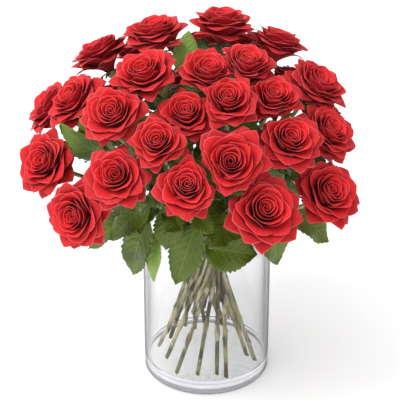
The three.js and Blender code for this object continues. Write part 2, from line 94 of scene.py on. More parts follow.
# Azimuth from the front and height angle on the dome, how far the bloom stands proud, its width, its
# turn sideways and tilt up from facing straight out, and how far its petals are spun.
ROSES = (
    # low row, round the front
    (-71, 16, 0, 68, 26, -4, 10),
    (-44, 7, 5, 70, 12, -18, 47),
    (-3, 26, 3, 66, 4, -2, 36),
    (23, 17, 8, 76, 2, 0, 58),
    (52, 14, 3, 72, -8, 0, 22),
    # middle row
    (-97, 26, 6, 66, 10, -8, 5),
    (-29, 26, 5, 66, 12, -4, 64),
    (-16, 39, 3, 62, 6, -4, 18),
    (12, 32, 10, 74, -8, -14, 51),
    (41, 36, 0, 68, -10, -4, 30),
    (68, 30, -3, 64, -6, -6, 2),
    # upper row
    (-80, 39, -5, 66, 12, -6, 40),
    (-39, 44, 8, 68, 16, -10, 68),
    (-6, 52, -16, 62, 0, -6, 25),
    (16, 53, 5, 64, -10, -6, 55),
    (45, 51, -3, 62, -12, -4, 12),
    (87, 42, 0, 68, -14, -6, 33),
    # crown
    (-41, 62, 0, 68, 0, -2, 60),
    (12, 68, -8, 64, 0, -4, 8),
    (47, 66, -3, 64, 0, -2, 44),
    # behind the crown
    (-118, 73, -3, 66, 0, 2, 28),
    (-114, 49, 0, 66, 0, -2, 50),
    (152, 70, 0, 68, 0, 2, 70),
    (121, 54, 0, 66, 0, -2, 15),
    # down the back
    (150, 44, -10, 68, 0, -4, 32),
    (132, 26, -8, 68, 0, -4, 66),
    (180, 39, -10, 70, 0, -4, 62),
    (158, 20, -8, 68, 0, -4, 20),
    (-150, 42, -10, 68, 0, -4, 26),
    (-124, 20, -8, 70, 0, -4, 4),
    (106, 24, -16, 66, 0, -4, 38),
    (120, 4, -8, 70, 0, -6, 57),
    (-176, 15, -8, 70, 0, -4, 48),
    (167, 2, -10, 68, 0, -6, 12),
    (-150, 17, -8, 68, 0, -4, 54),
    (-137, 3, -8, 68, 0, -6, 35),
)
FIRST_PAIRED = 8  # from this rose on, each two stems share a node

# Where a leaf's blade starts and ends, and its width.
LEAVES = (
    # hanging in front of the rim, from left to right
    ((-64, -70, 240), (-84, -74, 166), 50),
    ((-54, -74, 226), (-60, -84, 164), 22),
    ((-84, -60, 236), (-134, -62, 194), 38),
    ((-60, -84, 268), (-106, -92, 222), 40),
    ((-34, -80, 262), (-46, -96, 212), 38),
    ((-10, -80, 238), (-34, -88, 163), 42),
    ((-4, -84, 208), (56, -94, 205), 50),
    ((-2, -100, 249), (40, -126, 246), 38),
    ((66, -78, 244), (78, -84, 186), 46),
    ((92, -70, 246), (138, -62, 203), 42),
    # in the gaps between blooms
    ((-108, -62, 308), (-160, -62, 350), 34),
    ((-100, -66, 318), (-138, -70, 364), 32),
    ((-26, 0, 380), (-20, 14, 428), 30),
    ((-16, 22, 374), (-2, 42, 408), 28),
    ((-50, -56, 352), (-66, -92, 392), 34),
    ((28, -74, 350), (56, -98, 361), 32),
    ((58, -80, 298), (78, -118, 320), 30),
    ((106, -48, 292), (129, -77, 313), 28),
    ((80, -76, 276), (96, -116, 298), 26),
    ((-52, -88, 294), (-62, -126, 318), 28),
    ((8, -96, 286), (14, -140, 300), 32),
    # round the sides and back
    ((112, -10, 262), (150, 6, 240), 36),
    ((-104, 54, 268), (-142, 78, 250), 38),
    ((34, 96, 260), (54, 140, 256), 36),
    ((84, 34, 240), (124, 34, 186), 46),
    ((70, 80, 238), (86, 110, 184), 48),
    ((10, 92, 240), (22, 112, 172), 50),
    ((2, 94, 234), (-28, 116, 190), 36),
    ((-74, 74, 242), (-100, 92, 182), 48),
    ((-96, 20, 240), (-138, 14, 190), 44),
)
FORWARD_LEAVES = (12, 13)  # these face the front instead of straight out from the vase
YOUTH = {1: 1.0, 12: 0.45}  # how young the brighter leaves are

# ---- how the stems run
FLOOR = 12 * MM  # the vase's inner floor
BINDING_HEIGHT = 148 * MM
BINDING_RADIUS = 17 * MM
TWIST = math.radians(80)  # from the binding to the dome
WIDEST_POLAR = math.radians(80)  # roses this far down the dome go to the binding's edge
FOOT_RADIUS = 64 * MM  # of the outermost stem's middle on the floor
FOOT_SPREAD = 0.45  # under 1, so that the inner stems fan out too
STANDING = 0.6  # stems less far out in the bunch than this share of its reach are cut shorter
SHORT_ENDS = (72 * MM, 128 * MM)  # where the shorter stems end, from the bunch's edge to its middle
STEM_PITCH = 6.1 * MM  # least distance between two stems' middles
PAIR_PITCH = 4 * MM
SEAT_GAP = 0.3 * MM
LOW_PULL = 0.42  # how straight a stem leaves the binding, and then how straight it meets its hip
HIGH_PULL = 0.3
SPREAD_ROUNDS = 300
BEND_ROUNDS = 40
STRETCHES = 5  # of a stem's line
QUARTERS = 4  # places on a stretch where a stem is bent
HIP_LENGTH = 10 * MM
HIP_RADIUS = 5.5 * MM
STEM_RADIUS = 2.6 * MM
ANY_WAY = (0.31, 0.95, 0.05)  # no stem starts along this


# ---- vectors and places
def unit(vector):
    return vector / np.linalg.norm(vector)


def direction(azimuth, height):
    """The way from its azimuth (0 is the front, positive to the right) and height angle, in degrees."""
    a, h = math.radians(azimuth), math.radians(height)
    return np.array((math.sin(a) * math.cos(h), -math.cos(a) * math.cos(h), math.sin(h)))


def ease(value, low, high):
    """0 up to low, 1 from high on, and smooth between."""
    t = np.clip((value - low) / (high - low), 0, 1)
    return t * t * (3 - 2 * t)


class Rose:
    """Where one rose is: its neck, the way it faces and its width."""

    def __init__(self, number, azimuth, height, proud, width, turn, tilt, spin):
        self.number = number
        self.width = width * MM
        self.spin = math.radians(spin)
        self.face = DOME_CENTRE + direction(azimuth, height) * (DOME_RADIUS + proud * MM)
        out = self.face - AIM
        out_azimuth = math.degrees(math.atan2(out[0], -out[1]))
        out_height = math.degrees(math.asin(unit(out)[2]))
        self.facing = direction(out_azimuth + turn, out_height + tilt)
        depth = self.width * BLOOM_DEPTH
        self.neck = self.face - self.facing * depth
        self.middle = self.face - self.facing * depth * MIDDLE_DEPTH
        self.side = unit(np.cross((0, 0, 1), self.facing))
        self.up = np.cross(self.facing, self.side)

    def place(self, angle, radius, height):
        """Points at an angle round the axis, a distance from it and a height above the neck."""
        angle, radius, height = (x[..., None] for x in np.broadcast_arrays(angle, radius, height))
        across = np.cos(angle) * self.side + np.sin(angle) * self.up
        return self.neck + across * radius + self.facing * height


@cache
def all_roses():
    """Every rose, in the table's order."""
    return [Rose(number, *row) for number, row in enumerate(ROSES)]


def room_round(rose, roses, angles, height):
    """How far a petal can reach at each angle before it meets a neighbouring bloom."""
    start = rose.neck + rose.facing * height
    ways = np.cos(angles)[:, None] * rose.side + np.sin(angles)[:, None] * rose.up
    room = np.full(len(angles), rose.width)
    for other in roses:
        toward = other.middle - rose.middle
        distance = np.linalg.norm(toward)
        widths = rose.width + other.width
        if other is rose or distance > widths * NEIGHBOUR_REACH:
            continue
        toward /= distance
        share = distance * rose.width / widths - BLOOM_GAP / 2
        speed = ways @ toward
        felt = speed > LEAST_SPEED
        used = (start - rose.middle) @ toward
        room[felt] = np.minimum(room[felt], (share - used) / speed[felt])
    return room


def squeeze_round(rose, roses):
    """Angles round a bloom, and how far its neighbours squeeze it there, where 1 is not at all."""
    angles = np.linspace(0, TURN, SQUEEZE_STEPS + 1)
    rooms = [room_round(rose, roses, angles, level * rose.width) for level in SQUEEZE_HEIGHTS]
    return angles, np.minimum(1, np.minimum(*rooms) / (BLOOM_REACH * rose.width))


# ---- stem lines
def partner(number):
    """The other stem of a pair, or -1."""
    return -1 if number < FIRST_PAIRED else number ^ 1


def binding_places(roses):
    """Each stem's place at the binding, as a complex number: the dome flattened and spun back."""
    places = []
    for rose in roses:
        x, y, z = rose.face - DOME_CENTRE
        polar = math.atan2(math.hypot(x, y), z)
        radius = BINDING_RADIUS * min(1, polar / WIDEST_POLAR)
        angle = math.atan2(y, x) - TWIST
        places.append(radius * complex(math.cos(angle), math.sin(angle)))
    for _ in range(SPREAD_ROUNDS):
        for i in range(len(places)):
            for j in range(i + 1, len(places)):
                paired = partner(i) == j
                apart = places[j] - places[i]
                short = (PAIR_PITCH if paired else STEM_PITCH) - abs(apart)
                if short > 0 or paired:
                    push = apart / abs(apart) * short / 2
                    places[j] += push
                    places[i] -= push
    return places


def between(start, end, share):
    """The place at a share of the way from a start to an end."""
    return start * (1 - share) + end * share


def nearest_on(start, end, point):
    """How far along a stretch, from 0 to 1, its nearest place to a point is, and that place."""
    run = end - start
    along = np.clip(((point - start) * run).sum(-1) / (run * run).sum(-1), 0, 1)[..., None]
    return along, between(start, end, along)


def shift(line, stretch, share, by):
    """Moves a place on one stretch of a stem's line, but neither its top nor its binding. A foot
    slides level, and stays inside the vase."""
    if stretch == 0:
        foot = line[0, :2] + by[:2] * (1 - share)
        line[0, :2] = foot * min(1, FOOT_RADIUS / np.linalg.norm(foot))
        return
    if stretch > 1:
        line[stretch] += by * (1 - share)
    if stretch < STRETCHES - 1:
        line[stretch + 1] += by * share


def bend_place(step):
    """The stretch of a stem's line, and the share of the way along it, that a step tries."""
    stretch, quarter = divmod(step, QUARTERS)
    return stretch, (quarter + min(1, stretch)) / QUARTERS


def bend_pair(line, other):
    """Bends two stems aside wherever they are closer than the pitch."""
    for step in range(STRETCHES * QUARTERS):
        k, share = bend_place(step)
        for m in range(STRETCHES):
            here = between(line[k], line[k + 1], share)
            along, place = nearest_on(other[m], other[m + 1], here)
            apart = here - place
            distance = np.linalg.norm(apart)
            if distance < STEM_PITCH:
                push = apart / distance * (STEM_PITCH - distance) / 2
                shift(line, k, share, push)
                shift(other, m, along, -push)


def too_close(lines, i):
    """Which stems come closer than the pitch to stem i."""
    stretch, share = np.array([bend_place(step) for step in range(STRETCHES * QUARTERS)]).T
    k = stretch.astype(int)
    here = between(lines[i, k], lines[i, k + 1], share[:, None])[None, :, None, :]
    _, places = nearest_on(lines[:, None, :-1], lines[:, None, 1:], here)
    return np.linalg.norm(here - places, axis=-1).min(axis=(1, 2)) < STEM_PITCH


def bezier(pulls, t):
    """The place at t on the curve that four points pull."""
    weights = ((1 - t) ** 3, 3 * t * (1 - t) ** 2, 3 * t * t * (1 - t), t**3)
    return sum(weight * pull for weight, pull in zip(weights, pulls, strict=True))


class Bunch:
    """How the stems run. Each line is its foot, its binding, three places on the way up and its top."""

    def __init__(self, roses):
        self.places = binding_places(roses)
        widest = max(abs(place) for place in self.places)
        self.outness = [abs(place) / widest for place in self.places]
        self.lines = np.array([self.first_line(rose) for rose in roses])
        for _ in range(BEND_ROUNDS):
            for i in range(len(roses)):
                self.bend_clear(i)
        for number, line in enumerate(self.lines):
            line[0, 2] = self.foot_height(number, unit(line[1] - line[0]))

    def foot_height(self, number, slope):
        """The stems inside the bunch, and the inner one of each pair, end above the water."""
        own, other = self.outness[number], partner(number)
        if own < STANDING or (other >= 0 and own < self.outness[other]):
            low, high = SHORT_ENDS
            return high + (low - high) * own
        return FLOOR + SEAT_GAP + STEM_RADIUS * math.sqrt(1 - slope[2] ** 2)

    def spiral(self, number, z):
        """Below the binding a stem's place swings sideways as it goes down."""
        place = self.places[number]
        reach = FOOT_RADIUS * self.outness[number] ** FOOT_SPREAD
        foot_swing = math.sqrt(reach**2 - abs(place) ** 2) / abs(place)
        swing = foot_swing * (z - BINDING_HEIGHT) / (BINDING_HEIGHT - FLOOR)
        return np.array((place.real - swing * place.imag, place.imag + swing * place.real, z))

    def first_line(self, rose):
        """A stem's line before its neighbours push it aside."""
        bound = self.spiral(rose.number, BINDING_HEIGHT)
        slope = unit(bound - self.spiral(rose.number, FLOOR))
        foot = self.spiral(rose.number, self.foot_height(rose.number, slope))
        top = rose.neck - rose.facing * HIP_LENGTH
        reach = np.linalg.norm(top - bound)
        low, high = bound + slope * reach * LOW_PULL, top - rose.facing * reach * HIGH_PULL
        way_up = [bezier((bound, low, high, top), t) for t in (0.25, 0.5, 0.75)]
        return (foot, bound, *way_up, top)

    def bend_clear(self, i):
        """Bends stem i and every stem too close to it aside, in their order."""
        done = -1
        while True:
            close = [j for j in np.flatnonzero(too_close(self.lines, i))
                     if j > done and j != i and partner(i) != j]
            if not close:
                return
            done = close[0]
            bend_pair(self.lines[i], self.lines[done])


@cache
def stem_lines():
    """The line of every rose's stem."""
    return Bunch(all_roses()).lines


def nearest_stem(lines, base):
    """The stem nearest a leaf's base, and the place on it that the leaf's stalk grows from."""
    _, places = nearest_on(lines[:, 1:-1], lines[:, 2:], base)
    nearest = int(np.linalg.norm(places - base, axis=-1).argmin())
    number, stretch = divmod(nearest, STRETCHES - 1)
    return number, places[number, stretch]


# ---- meshes
def link(name, data):
    """A new object in the scene."""
    made = bpy.data.objects.new(name, data)
    bpy.context.scene.collection.objects.link(made)
    return made


class Skin:
    """Gathers surfaces into one mesh. Each vertex carries how far along and across its petal or leaf it
    is (on a petal, lowered towards its base as painted shade), a tone from 0 to 1 (2 for a young leaf),
    and how much of its pale side it is."""

    MARKS = ("along", "across", "tone", "pale")

    def __init__(self):
        self.points, self.faces, self.marks, self.finishes = [], [], [], []
        self.count = 0

    def add(self, points, faces, along=0.0, across=0.0, tone=0.5, pale=0.0, finish=0):
        points = np.asarray(points).reshape(-1, 3)
        marks = [np.broadcast_to(np.asarray(m, float).ravel(), len(points))
                 for m in (along, across, tone, pale)]
        self.points.append(points)
        self.marks.append(np.stack(marks, 1))
        self.faces += [[v + self.count for v in face] for face in faces]
        self.finishes += [finish] * len(faces)
        self.count += len(points)

    def add_sheet(self, grid, thickness, along, across, tone, finish=0):
        """A closed thin sheet round a grid of points, whose first side is its upper side."""
        rows, columns = grid.shape[:2]
        normal = np.cross(np.gradient(grid, axis=1), np.gradient(grid, axis=0))
        normal /= np.maximum(np.linalg.norm(normal, axis=-1, keepdims=True), 1e-12)
        half = normal * thickness / 2
        points = np.stack((grid + half, grid - half))
        pale = np.repeat((0.0, 1.0), rows * columns)
        marks = [np.tile(np.broadcast_to(m, (rows, columns)).ravel(), 2) for m in (along, across)]
        self.add(points, sheet_faces(rows, columns), *marks, tone, pale, finish)

    def to_object(self, name, *materials):
        mesh = bpy.data.meshes.new(name)
        mesh.from_pydata(np.concatenate(self.points).tolist(), [], self.faces)
        marks = np.concatenate(self.marks)
        for mark, values in zip(self.MARKS, marks.T, strict=True):
            mesh.attributes.new(mark, "FLOAT", "POINT").data.foreach_set("value", values.copy())
        mesh.polygons.foreach_set("material_index", self.finishes)
        mesh.polygons.foreach_set("use_smooth", [True] * len(self.faces))
        for material in materials:
            mesh.materials.append(material)
        mesh.update()
        return link(name, mesh)


def sheet_faces(rows, columns):
    """The faces of a closed sheet: its upper side, its lower side, and the edge round them."""
    number = np.arange(rows * columns).reshape(rows, columns)
    corners = (number[:-1, :-1], number[:-1, 1:], number[1:, 1:], number[1:, :-1])
    upper = np.stack(corners, -1).reshape(-1, 4)
    lower = upper[:, ::-1] + rows * columns
    edge = np.concatenate((number[0], number[1:, -1], number[-1, -2::-1], number[-2:0:-1, 0]))
    after = np.roll(edge, -1)
    band = np.stack((after, edge, edge + rows * columns, after + rows * columns), -1)
    return np.concatenate((upper, lower, band)).tolist()


def ring_faces(rings, sides, first=0):
    """The faces between rings of points that are numbered ring after ring."""
    faces = []
    for low in range(first, first + (rings - 1) * sides, sides):
        high = low + sides
        for s in range(sides):
            t = (s + 1) % sides
            faces.append((low + s, low + t, high + t, high + s))
    return faces


def add_tube(skin, middles, radii, sides, pale_foot=0.0, cut=0.0, **marks):
    """A round tube along a line. cut slants its foot, rising by that many radii on one side."""
    runs = np.gradient(middles, axis=0)
    runs /= np.linalg.norm(runs, axis=1, keepdims=True)
    side = unit(np.cross(runs[0], ANY_WAY))
    angles = np.arange(sides) * TURN / sides
    rings = []
    for middle, run, radius in zip(middles, runs, radii, strict=True):
        side = unit(side - run * (side @ run))
        turned = np.cos(angles)[:, None] * side + np.sin(angles)[:, None] * np.cross(run, side)
        rings.append(middle + turned * radius)
    rings[0] += runs[0] * ((1 + np.cos(angles)) * radii[0] * cut)[:, None]
    last = (len(rings) - 1) * sides
    faces = ring_faces(len(rings), sides) + [range(last, last + sides)]
    along = np.repeat(np.linspace(0, 1, len(rings)), sides)
    skin.add(rings, faces, along=along, **marks)
    skin.add(rings[0], [reversed(range(sides))], pale=pale_foot, **marks)


def lathe(profile, segments):
    """Points and faces of a profile of (radius, height) turned round the Z axis, from axis to axis."""
    points = [(0, 0, profile[0][1])]
    for radius, height in profile[1:-1]:
        for s in range(segments):
            angle = s * TURN / segments
            points.append((radius * math.cos(angle), radius * math.sin(angle), height))
    last = len(points)
    points.append((0, 0, profile[-1][1]))
    faces = ring_faces(len(profile) - 2, segments, 1)
    for s in range(segments):
        t = (s + 1) % segments
        faces.append((0, 1 + t, 1 + s))
        faces.append((last - segments + s, last - segments + t, last))
    return points, faces


def arc(middle, radius, start, end, steps):
    """Points (radius, height) of an arc of a lathe's profile, between two angles in degrees."""
    angles = np.radians(np.linspace(start, end, steps + 1))
    return [(middle[0] + radius * math.cos(a), middle[1] + radius * math.sin(a)) for a in angles]


# ---- materials
class Finish:
    """Short calls that build up a material's or a world's nodes round its shader."""

    def __init__(self, name, kind="materials", shader="Principled BSDF", **sockets):
        self.owner = getattr(bpy.data, kind).new(name)
        self.owner.use_nodes = True
        self.tree = self.owner.node_tree
        self.shader = self.tree.nodes[shader]
        self.set(**sockets)

    def set(self, **sockets):
        """Sets or links the shader's sockets."""
        for name, value in sockets.items():
            socket = name.replace("_", " ").title().replace("Ior", "IOR")
            self.put(self.shader.inputs[socket], value)

    def put(self, socket, value):
        if isinstance(value, bpy.types.NodeSocket):
            self.tree.links.new(value, socket)
        elif socket.type == "RGBA" and len(value) == 3:
            socket.default_value = (*value, 1)
        else:
            socket.default_value = value

    def node(self, kind, output, inputs=(), **settings):
        """One output of a new node, whose inputs are set or linked."""
        made = self.tree.nodes.new("ShaderNode" + kind)
        for setting, value in settings.items():
            setattr(made, setting, value)
        for socket, value in dict(inputs).items():
            self.put(made.inputs[socket], value)
        return made.outputs[output]

    def mark(self, name):
        return self.node("Attribute", "Fac", attribute_name=name)

    def math(self, operation, *values):
        return self.node("Math", 0, enumerate(values), operation=operation)

    def times(self, value, *others):
        for other in others:
            value = self.math("MULTIPLY", value, other)
        return value

    def ramp(self, value, low, high, to_low=0.0, to_high=1.0):
        inputs = {"Value": value, "From Min": low, "From Max": high, "To Min": to_low, "To Max": to_high}
        return self.node("MapRange", "Result", inputs, interpolation_type="SMOOTHSTEP")

    def place(self, kind="Object"):
        return self.node("TexCoord", kind)

    def split(self, vector):
        return self.node("SeparateXYZ", 0, {0: vector}).node.outputs

    def noise(self, scale, detail=3.0, stretch=None):
        place = self.place()
        if stretch:
            place = self.node("Mapping", 0, {"Vector": place, "Scale": stretch})
        return self.node("TexNoise", 0, {"Vector": place, "Scale": scale, "Detail": detail})

    def paint(self, colour, *coats):
        """Sets the base colour to one colour with each coat's share of another over it in turn."""
        for share, coat in coats:
            colour = self.node("Mix", 2, {0: share, 6: colour, 7: coat}, data_type="RGBA")
        self.set(base_color=colour)

    def bump(self, height, distance, strength):
        inputs = {"Height": height, "Distance": distance, "Strength": strength}
        self.set(normal=self.node("Bump", 0, inputs))


def petal_velvet(looks):
    """Red velvet: darker towards the base, partly its own deeper red and partly painted shade, with a
    painted highlight along its edges, and duller and cooler on the back.
    """
    finish = Finish("rose petal velvet", sheen_weight=0.12, sheen_roughness=0.4,
                    sheen_tint=(1.0, 0.3, 0.28), specular_ior_level=0.15)
    along, across = finish.mark("along"), finish.mark("across")
    clouds = finish.noise(70.0, 4.0)
    wobble = finish.times(finish.noise(45.0), 5.0)
    veins = finish.math("SINE", finish.math("ADD", finish.times(across, 26.0), wobble))
    # Masks for the painted highlight along each petal's rim and sides, laid on in patches.
    side = finish.ramp(finish.math("ABSOLUTE", across), 0.95, 1.0)
    edge = finish.math("MAXIMUM", finish.ramp(along, 0.955, 1.0), finish.times(side, along))
    patchy = finish.ramp(finish.noise(55.0, 2.0), 0.35, 0.65, 0.2, 0.65)
    # The dark red towards a petal's base is partly its own colour and partly painted shade, deepest in
    # the heart.
    finish.paint(
        looks.claw_and_shade,
        (finish.ramp(along, 0.1, 0.85), looks.petal),
        (finish.ramp(clouds, 0.35, 0.7, 0.0, 0.35), looks.shade),
        (finish.ramp(finish.mark("tone"), 0.0, 1.0, 0.0, 0.7), looks.shade),
        (finish.ramp(veins, 0.55, 1.0, 0.0, 0.14), looks.claw_and_shade),
        (finish.times(edge, patchy), looks.rim_highlight),
        (finish.times(finish.mark("pale"), 0.65), looks.back),
    )
    finish.set(roughness=finish.ramp(clouds, 0.3, 0.75, 0.5, 0.68))
    finish.bump(finish.math("ADD", veins, finish.noise(400.0, 2.0)), 0.15 * MM, 0.5)
    return finish.owner


def leaf_green(looks):
    """A rose leaflet: pale midrib and side veins, blotchy greens, and a paler matt underside."""
    finish = Finish("rose leaf green", specular_ior_level=0.40)
    tone, under = finish.mark("tone"), finish.mark("pale")
    reach = finish.math("ABSOLUTE", finish.mark("across"))
    slant = finish.math("SUBTRACT", finish.times(finish.mark("along"), SIDE_VEINS),
                        finish.times(reach, VEIN_SLANT))
    stripe = finish.math("ABSOLUTE", finish.math("SUBTRACT", finish.math("FRACT", slant), 0.5))
    side_veins = finish.times(finish.ramp(stripe, 0.05, 0.0), 0.7)
    veins = finish.math("MAXIMUM", finish.ramp(reach, 0.05, 0.015), side_veins)
    cells = finish.node("TexVoronoi", "Distance", {"Vector": finish.place(), "Scale": 420.0},
                        feature="DISTANCE_TO_EDGE")
    net = finish.ramp(cells, 0.06, 0.0)
    finish.paint(
        looks.leaf,
        (finish.ramp(finish.noise(28.0, 4.0), 0.35, 0.65), looks.dark_leaf),
        (finish.ramp(tone, 0.0, 1.0, 0.0, 0.75), looks.olive_leaf),
        (finish.ramp(tone, 1.0, 2.0, 0.0, 0.9), looks.young_leaf),
        (finish.times(net, 0.18), looks.vein),
        (finish.times(veins, 0.34), looks.vein),
        (finish.times(under, 0.75), looks.underside),
    )
    gloss = finish.ramp(finish.noise(60.0), 0.3, 0.7, 0.26, 0.42)
    finish.set(roughness=finish.math("ADD", finish.times(under, 0.2), gloss))
    quilt = finish.ramp(stripe, 0.0, 0.3)
    finish.bump(finish.math("ADD", quilt, finish.times(net, -0.3)), 0.5 * MM, 0.6)
    return finish.owner


def stem_bark(looks):
    """Olive stem skin with brown streaks and pale flecks along it, and a pale cut foot."""
    finish = Finish("rose stem skin", specular_ior_level=0.3)
    streaks = finish.noise(90.0, 5.0, STREAK_STRETCH)
    flecks = finish.noise(150.0, 3.0, STREAK_STRETCH)
    finish.paint(
        looks.stem,
        (finish.ramp(streaks, 0.38, 0.62), looks.brown),
        (finish.ramp(finish.mark("tone"), 0.0, 1.0, 0.0, 0.75), looks.brown),
        (finish.ramp(flecks, 0.54, 0.64, 0.0, 0.6), looks.fleck),
        (finish.mark("pale"), looks.cut),
    )
    finish.set(roughness=finish.ramp(streaks, 0.3, 0.7, 0.42, 0.62))
    finish.bump(streaks, 0.4 * MM, 0.6)
    return finish.owner


def clear_finish(name, **sockets):
    """A clear finish with a faintly uneven surface."""
    finish = Finish(name, roughness=0.0, transmission_weight=1.0, **sockets)
    finish.bump(finish.noise(16.0, 1.0), 0.3 * MM, 0.12)
    return finish


def vase_glass(shape):
    """Clear glass with painted shade where it is seen edge on and round the outside of its foot, a
    greyer tint in its floor, and a painted glow just above its floor beside the water.
    """
    # The pale blue emission colour is for the painted glow beside the water.
    finish = clear_finish("clear vase glass", ior=1.45, specular_tint=(0.3, 0.3, 0.32),
                          emission_color=(0.9, 0.9, 1.0))
    edge_on = finish.node("LayerWeight", "Facing", {"Blend": 0.5})
    x, y, z = finish.split(finish.place())
    out = finish.math("SQRT", finish.math("ADD", finish.times(x, x), finish.times(y, y)))
    flat = shape.radius - shape.foot_round
    outside = finish.ramp(out, flat, flat + 0.2 * shape.foot_round)
    floor, level = shape.floor, shape.water_level
    low = finish.ramp(z, floor, floor - 3 * MM)
    finish.paint(
        shape.glass,
        # Painted shade where the glass is seen edge on, standing in for the dark edges that the glass
        # bends into view there.
        (finish.ramp(edge_on, 0.4, 1.0), shape.painted_edge_shade),
        (finish.ramp(z, floor + MM, floor + 0.5 * MM), shape.glass_floor),
        # A dark painted shade on the outside of the foot, for the grey band that the thick foot shows.
        (finish.times(outside, low), shape.painted_foot_shade),
    )
    # A painted glow: emission on the outside of the glass beside the water stands in for light caught in
    # the water's rim.
    painted_glow_band = finish.times(finish.ramp(z, level, level - 2 * MM),
                          finish.ramp(z, floor + 2 * MM, floor + 3.5 * MM))
    # The metal-like mirror where the glass is seen edge on darkens it further, as part of that painted
    # shade.
    finish.set(emission_strength=finish.times(outside, painted_glow_band, 0.4),
               metallic=finish.ramp(edge_on, 0.58, 0.9, 0.0, 0.8))
    return finish.owner


# ---- the bloom
# A petal's shape as it stands further from the heart: how far it is through the bloom's petals, then
# as shares of the bloom's width its rim's radius and height, its half angle in degrees, how far its
# shoulders drop as a share of its length, how sharply they round off, and how far its rim bends back.
PETAL_STAGES = np.array((
    # through, radius, height, angle, drop, round, reflex
    (0.00, 0.028, 0.490, 120, 0.03, 3.0, 0.000),
    (0.12, 0.070, 0.525, 112, 0.06, 2.6, 0.004),
    (0.24, 0.120, 0.560, 92, 0.09, 2.1, 0.010),
    (0.37, 0.180, 0.585, 76, 0.12, 1.8, 0.020),
    (0.50, 0.250, 0.580, 66, 0.15, 1.5, 0.030),
    (0.62, 0.325, 0.555, 60, 0.19, 1.3, 0.045),
    (0.74, 0.405, 0.515, 56, 0.24, 1.15, 0.075),
    (0.87, 0.485, 0.450, 52, 0.30, 1.05, 0.105),
    (1.00, 0.545, 0.355, 49, 0.34, 1.0, 0.130),
    (1.12, 0.500, 0.215, 46, 0.34, 1.0, 0.120),
))
GOLDEN_ANGLE = math.radians(137.508)
SPIRAL_END = 0.64  # how far through the bloom its spiral of petals turns into rows of five
ROW_STARTS = (0.72, 0.85, 0.96, 1.08)  # how far through the bloom each outer row is
ROW_PETALS = 5
ROW_TWIST = math.radians(31)  # from one row to the next
PETAL_ROWS = 10
PETAL_COLUMNS = 13
RADIUS_SPREAD = 0.022  # between alike petals, as shares of the bloom's width
HEIGHT_SPREAD = 0.032


def petal_grid(rose, openness, angle, squeeze, draw):
    """A petal's middle surface, and how far along and across it each point is."""
    stages = PETAL_STAGES.T
    radius, height, half, drop, rounding, reflex = (
        np.interp(openness, stages[0], column) for column in stages[1:]
    )
    loose = 0.3 + 0.7 * openness**2
    radius += draw.uniform(-RADIUS_SPREAD, RADIUS_SPREAD) * loose
    height += draw.uniform(-HEIGHT_SPREAD, HEIGHT_SPREAD) * loose
    half = math.radians(half) * draw.uniform(0.94, 1.08)
    across = np.linspace(-1, 1, PETAL_COLUMNS)[None, :]
    rise = (1 - (1 - np.linspace(0, 1, PETAL_ROWS)) ** 1.35)[:, None]
    reach = np.abs(across)
    along = rise * (1 - drop * reach**rounding)
    root_radius = 0.02 + 0.05 * openness
    root_height = 0.05 * (1 - openness)
    # The heart's petals stand upright, and the outer ones rise first and then flare.
    r = root_radius + (radius - root_radius) * along ** (0.6 + 0.5 * openness)
    z = root_height + (height + reflex - root_height) * along ** (1.15 - 0.3 * openness)
    z = z - reflex * np.clip((along - 0.55) / 0.45, 0, 1) ** 2
    # The tip stands out as a point, and the margins beside it roll back.
    point = draw.uniform(0.6, 1.2) * 0.06 * openness
    r = r + point * (1 - reach) ** 2 * rise**5
    roll = (0.006 + 0.032 * openness**1.5) * draw.uniform(0.7, 1.3)
    margin = ease(reach, 0.6, 1.0) * ease(rise, 0.3, 1.0)
    curl = ease(rise, 0.86, 1.0) * (0.004 + 0.012 * openness)
    r = r + roll * margin * 0.6
    z = z - roll * margin - curl
    # One side laps outside its neighbour and the other tucks inside, and the rim waves a little.
    r = r + across * (0.006 + 0.010 * openness) * rise
    z = z + across * draw.uniform(-0.03, 0.03) * openness**2 * rise
    ripple = np.sin(across * draw.uniform(4, 7) + draw.uniform(0, TURN))
    r = r + (0.004 + 0.012 * openness) * rise**2 * ripple
    dip = np.sin(across * draw.uniform(3, 6) + draw.uniform(0, TURN))
    z = z + (0.005 + 0.017 * openness) * rise**3 * dip
    turned = angle + across * half * (0.82 + 0.18 * rise)
    pressed = np.interp(turned % TURN, *squeeze)
    r = r * (1 - (1 - pressed) * np.minimum(1, r / 0.5) ** 1.6)
    return rose.place(turned, r * rose.width, z * rose.width), rise, across


def petal_places(petals, spin, draw):
    """How far through the bloom each petal is, and its angle: a spiral, then rows of five."""
    spiral = petals - len(ROW_STARTS) * ROW_PETALS
    for n in range(spiral):
        yield SPIRAL_END * n / (spiral - 1), spin + n * GOLDEN_ANGLE + draw.uniform(-0.09, 0.09)
    for row, start in enumerate(ROW_STARTS):
        for n in range(ROW_PETALS):
            angle = spin + (row + 1) * ROW_TWIST + n * TURN / ROW_PETALS
            yield start + 0.01 * n, angle + draw.uniform(-0.18, 0.18)


def build_bloom(rose, roses, shape):
    """One open rose of nested petals, from its tight heart to its guard petals."""
    draw = random.Random(rose.number * 7 + 3)
    squeeze = squeeze_round(rose, roses)
    skin = Skin()
    for openness, angle in petal_places(shape.petals, rose.spin, draw):
        grid, along, across = petal_grid(rose, openness, angle, squeeze, draw)
        # The heart's petals stand deep in one another's shade, so the dark red of their base reaches
        # further up them as painted shade, and the outer ones are duller.
        depth = 2.4 - 1.4 * ease(openness, 0.1, 0.8)
        along_with_painted_shade = np.maximum(0, 1 - (1 - along) * depth)
        tone = 0.25 * draw.random() + 0.75 * float(ease(openness, 0.5, 1.0))
        skin.add_sheet(grid[:, ::-1], shape.petal_thickness, along_with_painted_shade, across[:, ::-1], tone)
    return skin


